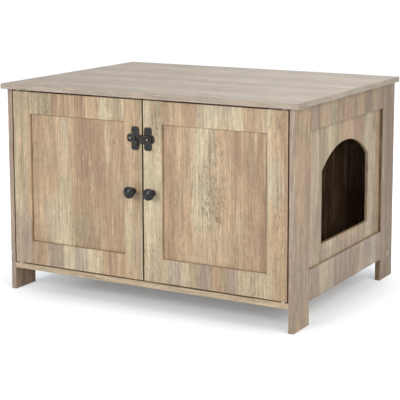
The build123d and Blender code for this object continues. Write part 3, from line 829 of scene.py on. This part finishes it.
# %% Forged pieces
def forged(outside, thickness, roll, relief, around=400, hole=0.0, rings=60):
    """Rings for a flat piece: its front from the middle (or its hole) out, its wall and its back.

    The front stands at thickness - roll + sqrt(roll^2 - (roll - d)^2) - relief, where d is the
    distance in from the outline, up to roll.
    """
    angle = np.linspace(0, 2 * math.pi, around, endpoint=False)
    edge = reach(outside, angle)
    share = np.sin(np.linspace(0, math.pi / 2, rings))[:, None]
    radius = hole + (edge - hole) * share
    across, up = radius * np.cos(angle), radius * np.sin(angle)
    inward = np.clip(-outside(across, up), 0, None)
    d = np.minimum(inward, roll)
    out = thickness - roll + np.sqrt(np.maximum(roll**2 - (roll - d)**2, 0)) - relief(across, up)
    rub_and_glint = np.clip(1 - (inward - 0.5) / 2.2, 0, 1)
    back = radius[::-6]
    behind = (back * np.cos(angle), back * np.sin(angle), 0 * back, 0 * back + 1)
    grids = [np.concatenate(pair) for pair in zip((across, up, out, rub_and_glint), behind)]
    return [np.concatenate([grid, grid[:1]]) for grid in grids] if hole else grids


disc = forged(lambda a, b: np.hypot(a, b) - 10, 2.5, 1.1, lambda a, b: 0 * a)
print("a forged disc of 20 mm stands", disc[2].max().round(2), "mm high, in", disc[2].size, "points")

# %% [markdown]
# Both plates have the same bar, 55 mm high. A pocket lets each screw head lie flush, and the dents
# stop short of the pockets.

# %% Plates
bar_width, bar_height, bar_corner = 20.5, 55.0, 6.0
lobe_height, lobe_corner = 20.0, 8.0
plate_thickness = front_y - span("pivot_plate", "y")[0]
latch_z = middle("pivot_plate")[1]
screw_head = 2.8
pocket_depth, slot_depth = 1.6, 2.2
screw_rise = bar_height / 2 - 8


def plate_outline(way, lobe_reach):
    """Distance outside the bar joined with its lobe, less a small notch where they meet."""
    half_lobe = (bar_width / 2 + lobe_reach) / 2

    def outside(a, b):
        bar = round_box(a, b, (0, 0), (bar_width / 2, bar_height / 2), bar_corner)
        lobe = round_box(a, b, (way * half_lobe, 0), (half_lobe, lobe_height / 2), lobe_corner)
        notch = 1.3 - np.hypot(np.abs(a - way * bar_width / 2), np.abs(np.abs(b) - lobe_height / 2))
        return np.maximum(np.minimum(bar, lobe), notch)
    return outside


def plate(name, node, centre_x, way, lobe_reach, holes, body, seed, slot=None, extra=()):
    """A forged plate round centre_x, with pockets where its screws go and perhaps a slot."""
    def relief(a, b):
        marks = dents(a, b, (34, 28), 4.0, 0.6, seed)
        if slot:
            inside = -round_box(a, b, *slot, 1.0)
            marks = np.maximum(marks, slot_depth * np.clip(inside / 0.3, 0, 1))
        away = np.min([np.hypot(a - x, b - z) for x, z in holes], axis=0)
        pocket = np.clip((screw_head + 0.7 - away) / 0.5, 0, 1)
        return np.where(pocket > 0, pocket_depth * pocket, marks)
    across, up, out, rub_and_glint = forged(plate_outline(way, lobe_reach), plate_thickness, 1.1, relief)
    grids = [(on_front(across, up, out, (centre_x, latch_z)), rub_and_glint), *extra]
    skin(name, grids, iron_plate, body, [node])


keeper_left, keeper_right = span("keeper_plate", "x")
pivot_left, pivot_right = span("pivot_plate", "x")
keeper_x, pivot_x = keeper_right - bar_width / 2, pivot_left + bar_width / 2
keeper_lobe = keeper_right - keeper_left - bar_width
pivot_lobe = pivot_right - pivot_left - bar_width
keeper_screws = [(0, screw_rise), (0, -screw_rise), (-bar_width / 2 - keeper_lobe + 8, 0)]
pivot_screws = [(0, screw_rise), (0, -screw_rise)]
print("lobes reach", round(keeper_lobe, 1), "and", round(pivot_lobe, 1), "mm")

# %% [markdown]
# The keeper has a slot beside the arm's tip and a hook that the arm drops into. The hook is a strap
# that leaves the plate under the arm and turns up in front of it, so its side view is a J, swept
# across the hook's width. The ends of the sweep are drawn in a little, which softens the cut edges.

# %% Hook
def arc(out, up, radius, start, end):
    """Points round a corner: centre plus radius (cos, sin), from start to end in quarter turns."""
    turn = np.linspace(start, end, 7)[:, None] * math.pi / 2
    return np.hstack([out + radius * np.cos(turn), up + radius * np.sin(turn)])


def hook_rings(width, shelf_low, shelf_top, lip_back, lip_front, lip_top):
    """Rings of a J in side view, (out, up) round its corners, at stations across the width.

    Each ring is shrunk round the middle of the shelf by a share of e / 4, where e is
    soft (1 - sqrt(1 - (1 - t)^2)) and t is the distance from the hook's end, up to soft, over soft.
    """
    root, toe, tip, bay, soft = 0.5, 2.6, 1.2, 1.0, 0.5       # where it starts, its four roundings
    side_view = np.concatenate([
        [(root, shelf_low)], arc(lip_front - toe, shelf_low + toe, toe, -1, 0),
        arc(lip_front - tip, lip_top - tip, tip, 0, 1), arc(lip_back + tip, lip_top - tip, tip, 1, 2),
        arc(lip_back - bay, shelf_top + bay, bay, 0, -1), [(root, shelf_top)]])
    centre = np.array([(root + lip_front) / 2, (shelf_low + shelf_top) / 2])
    from_end = soft * np.array([0, 0.16, 0.5, 1])
    stations = np.r_[from_end, width / 2, width - from_end[::-1]]
    t = np.minimum(np.minimum(stations, width - stations) / soft, 1)
    inset = soft * (1 - np.sqrt(1 - (1 - t)**2))
    shrink = 1 - inset[:, None, None] / 4
    return centre + (side_view - centre) * shrink, stations


arm_low, arm_high = span("latch_arm", "z")
arm_play = 0.4
hook_width, shelf_thickness, lip_thickness, lip_height = 11.0, 6.5, 2.6, 7.0
shelf_top = arm_low - latch_z - arm_play
lip_front = front_y - span("keeper_plate", "y")[0]
ring, stations = hook_rings(hook_width, shelf_top - shelf_thickness, shelf_top,
                            lip_front - lip_thickness, lip_front, shelf_top + lip_height)
hook_x = bar_width / 2 - hook_width
hook = on_front(np.broadcast_to((hook_x + stations)[:, None], ring.shape[:2]), ring[..., 1],
                ring[..., 0], (keeper_x, latch_z))
tip_x = span("latch_arm", "x")[0] - keeper_x
keeper_slot = ((tip_x - 1.9, 0.0), (2.1, 6.5))       # its middle and half its size
plate("forged_keeper_plate", "keeper_plate", keeper_x, -1, keeper_lobe, keeper_screws,
      "left_door", 5, keeper_slot, [(hook, 0.7)])
plate("forged_pivot_plate", "pivot_plate", pivot_x, 1, pivot_lobe, pivot_screws, "right_door", 6)

# %% [markdown]
# ## Swing arm and rivet
#
# The arm is one forging: a tongue with round corners that grows out of a round boss. It turns on the
# rivet, so the grid's middle is the rivet's hole. A dimple near the tip is where a finger pushes it
# up. The rivet's crown is painted pale: a painted highlight for the glint on its dome.

# %% Arm
swing = next(joint for joint in frame["joints"] if joint["name"] == "latch_swing")
pivot = swing["pos_m"][0] / mm, swing["pos_m"][2] / mm
arm_front, arm_rear = span("latch_arm", "y")
arm_thickness, arm_back = arm_rear - arm_front, front_y - arm_rear
boss = (arm_high - arm_low) / 2
tip = pivot[0] - span("latch_arm", "x")[0]
dimple_depth, dimple_radius, dimple_from_tip = 2.4, 2.3, 5.2
rivet_hole = 2.1


def arm_outside(a, b):
    """Distance outside the tongue, a rounded rectangle from the pivot to the tip, or the boss."""
    tongue = round_box(a, b, (-tip / 2, 0), (tip / 2, boss), 4.5)
    return np.minimum(tongue, np.hypot(a, b) - boss)


def arm_relief(a, b):
    """Dents, and a dimple near the tip."""
    away = np.hypot(a + tip - dimple_from_tip, b)
    mark = dimple_depth * np.clip((dimple_radius - away) / 0.6, 0, 1)
    return np.maximum(dents(a, b, (36, 12), 4.5, 0.45, 9), mark)


across, up, out, rub_and_glint = forged(arm_outside, arm_thickness, 1.3, arm_relief, hole=rivet_hole)
skin("forged_latch_arm", [(on_front(across, up, out + arm_back, pivot), rub_and_glint)], iron_arm,
     "latch_arm", ["latch_arm"])

# %% Rivet
rivet_front = front_y - span("latch_rivet", "y")[0]
head_foot = rivet_front - 2.0
rivet_profile = chain(
    [(0, -7.9), (1.4, -7.9), (2, -7.3), (2, head_foot), (3.9, head_foot)],
    bend((3.9, head_foot), (4.5, head_foot + 0.5), 4, True),
    bend((4.5, head_foot + 0.8), (0, rivet_front), 14, False)[1:])
# Painted highlight: the rivet's crown takes the pale third colour, a painted glint on its dome.
crown_glint = 3.0
rivet_glint = crown_glint * ((rivet_profile[:, 0] < 1.7) & (rivet_profile[:, 1] > 0))[:, None]
iron_rivet = iron("black_iron_rivet_with_glint", "#0E0F0F", "#2C2F30", "#B8B2A6", 0.22)
rivet = lathe(rivet_profile, 48, pivot)
skin("domed_rivet", [(rivet, rivet_glint)], iron_rivet, "right_door", ["latch_rivet"])

# %% [markdown]
# ## Screws
#
# All the screws have a cross recess. A head is a lathe shape whose face is lowered inside a cross:
# the depth falls off from the middle of each arm of the cross to its edge. The latch screws are
# countersunk and black, with one bright one in the keeper's lobe, where the coat has been turned
# off by the driver. The pan heads inside the doors and under the door stop are zinc-plated.

# %% Cross-headed screws
def cross(size, depth):
    """Relief of a cross recess: depth (1 - n / w) where n is the smaller of |a| and |b|, and w the
    arm's half width, fading to nothing at the end of the arms."""
    def relief(across, up, h):
        narrow = np.minimum(np.abs(across), np.abs(up)) / (0.24 * size)
        far = np.hypot(across, up) / size
        return depth * np.clip(1.6 * (1 - narrow), 0, 1) * np.clip(2.5 * (1 - far), 0, 1) * (h > 0)
    return relief


def screws(name, places, finish, body, replaces=()):
    """Countersunk screws at several places: a low dome, a cone, a shank and a point, one piece."""
    share = np.linspace(0, 0.94, 26)
    face = np.stack([screw_head * share, 1.55 - 0.25 * share**2], 1)
    rim = bend((screw_head * 0.97, 1.3), (screw_head, 1.05), 4, True)
    tail = [(2.2, -0.3), (1.4, -0.4), (1.4, -7.5), (0.2, -9.5), (0, -9.5)]
    profile, recess = chain(face, rim, tail), cross(screw_head * 0.72, 0.9)
    seat = front_y - plate_thickness + pocket_depth
    grids = [(lathe(profile, 64, at, recess, face=seat), 0.3) for at in places]
    skin(name, grids, finish, body, replaces, sharp=35)


at_keeper = [(keeper_x + x, latch_z + z) for x, z in keeper_screws]
at_pivot = [(pivot_x + x, latch_z + z) for x, z in pivot_screws]
black_screw = iron("black_screw", "#101112", "#33373A", "#4A4640", 0.3)
bare_screw = iron("bare_screw", "#AFA695", "#7E7466", "#5B4A38", 0.3)
screws("black_keeper_screws", at_keeper[:2], black_screw, "left_door")
screws("bright_keeper_screw", at_keeper[2:], bare_screw, "left_door", ["keeper_screws"])
screws("black_pivot_screws", at_pivot, black_screw, "right_door", ["pivot_plate_screws"])

# %% [markdown]
# ## Cover discs
#
# Thin self-adhesive discs hide the screws in the legs. They are cut from the same foil family but
# never match quite, so they read as faint round spots. Each is 0.5 mm thick with a soft edge.
# The film is slightly glossy, with faint upright lines 2 mm wide.

# %% Cover discs
cover_film = cloudy("cover_film", (2, 40, 2), "#A8917B", "#C2AB94", 0.4, IOR=1.5)
side_x = span("right_front_stile", "x")[1]
cap_thick = span("screw_caps", "x")[1] - side_x
cap_radius, cap_face = 7.0, 6.3
cap_profile = chain([(r, 0) for r in (0, 3, 6, 6.9)],
                    bend((cap_radius, 0.05), (cap_face, cap_thick), 6, False),
                    [(r, cap_thick - 0.04 * (1 - r / cap_face)) for r in (5, 3, 1, 0)])
disc = lathe(cap_profile, 48, (0, middle("screw_caps")[1]), face=-side_x)
across, inwards, up = np.moveaxis(disc, -1, 0)
front_row, back_row = span("screw_caps", "y")
discs = [(np.stack([way * inwards, row * mm + across, up], -1), 0)
         for way in (-1, 1) for row in (front_row + cap_radius, back_row - cap_radius)]
skin("cover_discs", discs, cover_film, "carcass", ["screw_caps"])

# %% [markdown]
# ## Floor, background and light
#
# The cabinet stands on a white floor before a white background. Both are white to the camera and to
# mirror-like reflections, but give only plain soft light to the object: the world is a faint grey
# that fills the shadows. Near the cabinet the floor's glow is weaker, which paints a soft shadow
# round its foot on top of the cast one. The key softbox hangs front left above. A second one, a
# little warmer, stands steeply over the right side, so it lights the side without shining into the
# entry. A small one at the front right puts a little light on the entry's left wall, and the last
# lights the top from behind.

# %% Floor and world
def seen_share(tree):
    """1 for rays from the camera, from a mirror or through glass, and 0 for light on a surface."""
    path = add(tree, "LightPath").node.outputs
    seen = add(tree, "Math", (path["Is Camera Ray"], path["Is Glossy Ray"]), operation="MAXIMUM")
    return add(tree, "Math", (seen, path["Is Transmission Ray"]), operation="MAXIMUM")


def studio_floor(under, far):
    """Matt white paint that the camera sees brighter, by a smooth step from under to far.

    The step runs over d from -113 to 530 mm, where d = |max(|p - c| - h, 0)| is the distance from a
    rectangle of 2h round c beneath the cabinet, so the low glow near the cabinet is a painted shadow
    round its foot. The lift is a glow for the rays of seen_share only, so it gives the object no
    light.
    """
    finish, tree = new_finish("floor_paint_with_painted_shadow")
    centre, half_size = (20, -21, 0), (234, 155, 1)
    away = add(tree, "VectorMath", (object_place(tree), centre), operation="SUBTRACT")
    away = add(tree, "VectorMath", (away,), operation="ABSOLUTE")
    away = add(tree, "VectorMath", (away, half_size), operation="SUBTRACT")
    away = add(tree, "VectorMath", (away, (0, 0, 0)), operation="MAXIMUM")
    away = add(tree, "VectorMath", (away,), out="Value", operation="LENGTH")
    # Painted shadow: the glow stays low near the cabinet, so the floor is darker round its foot.
    lift = add(tree, "MapRange", (away, -113, 530, under, far), interpolation_type="SMOOTHSTEP")
    grain = stretched(tree, object_place(tree), 30, 30, 2)
    dull, bright = linear("#EDF0F4"), linear("#F0F3F7")
    paint = add(tree, "Mix", {0: grain, 6: dull, 7: bright}, data_type="RGBA")
    strength = add(tree, "Math", (seen_share(tree), lift), operation="MULTIPLY")
    glow = add(tree, "Emission", {"Color": linear("#F5FAFF"), "Strength": strength})
    matt = add(tree, "BsdfDiffuse", {"Color": paint})
    add(tree, "OutputMaterial", {"Surface": add(tree, "AddShader", (matt, glow))})
    return finish


floor_reach = 30.0
corners = [(floor_reach * a, floor_reach * b, 0) for a, b in ((-1, -1), (1, -1), (1, 1), (-1, 1))]
floor_mesh = bpy.data.meshes.new("floor")
floor_mesh.from_pydata(corners, [], [range(4)])
floor_mesh.materials.append(studio_floor(under=0.095, far=1.0))
floor = in_scene("floor", floor_mesh)

world = bpy.data.worlds.new("studio")
scene.world = world
world.use_nodes = True
tree = world.node_tree
tree.nodes.clear()
strength = add(tree, "MapRange", (seen_share(tree), 0, 1, 0.1, 1))
sky = add(tree, "Background", {"Color": linear("#FFFFFF"), "Strength": strength})
add(tree, "OutputWorld", {"Surface": sky})
print("floor and world")

# %% Softboxes
softboxes = {"key": ((-0.86, -3.32, 1.63), 1.8, 62.5, "#FFFFFF"),
             "right": ((2.6, -0.8, 2.6), 1.8, 42.5, "#FFF7EC"),
             "entry": ((2.58, -2.43, 1.21), 0.6, 19, "#FFFFFF"),
             "behind_top": ((-0.2, 2.2, 2.6), 2.2, 28, "#FFFFFF")}
aim = Vector((0, -0.1, 0.28))
for name, (place, size, watts, card) in softboxes.items():
    lamp = bpy.data.lights.new(name, "AREA")
    lamp.shape, lamp.size, lamp.energy, lamp.color = "SQUARE", size, watts, linear(card)[:3]
    box = in_scene(name, lamp)
    box.location = place
    box.rotation_euler = (aim - Vector(place)).to_track_quat("-Z", "Y").to_euler()
scene.view_settings.view_transform = "Standard"
print(len(softboxes), "softboxes")
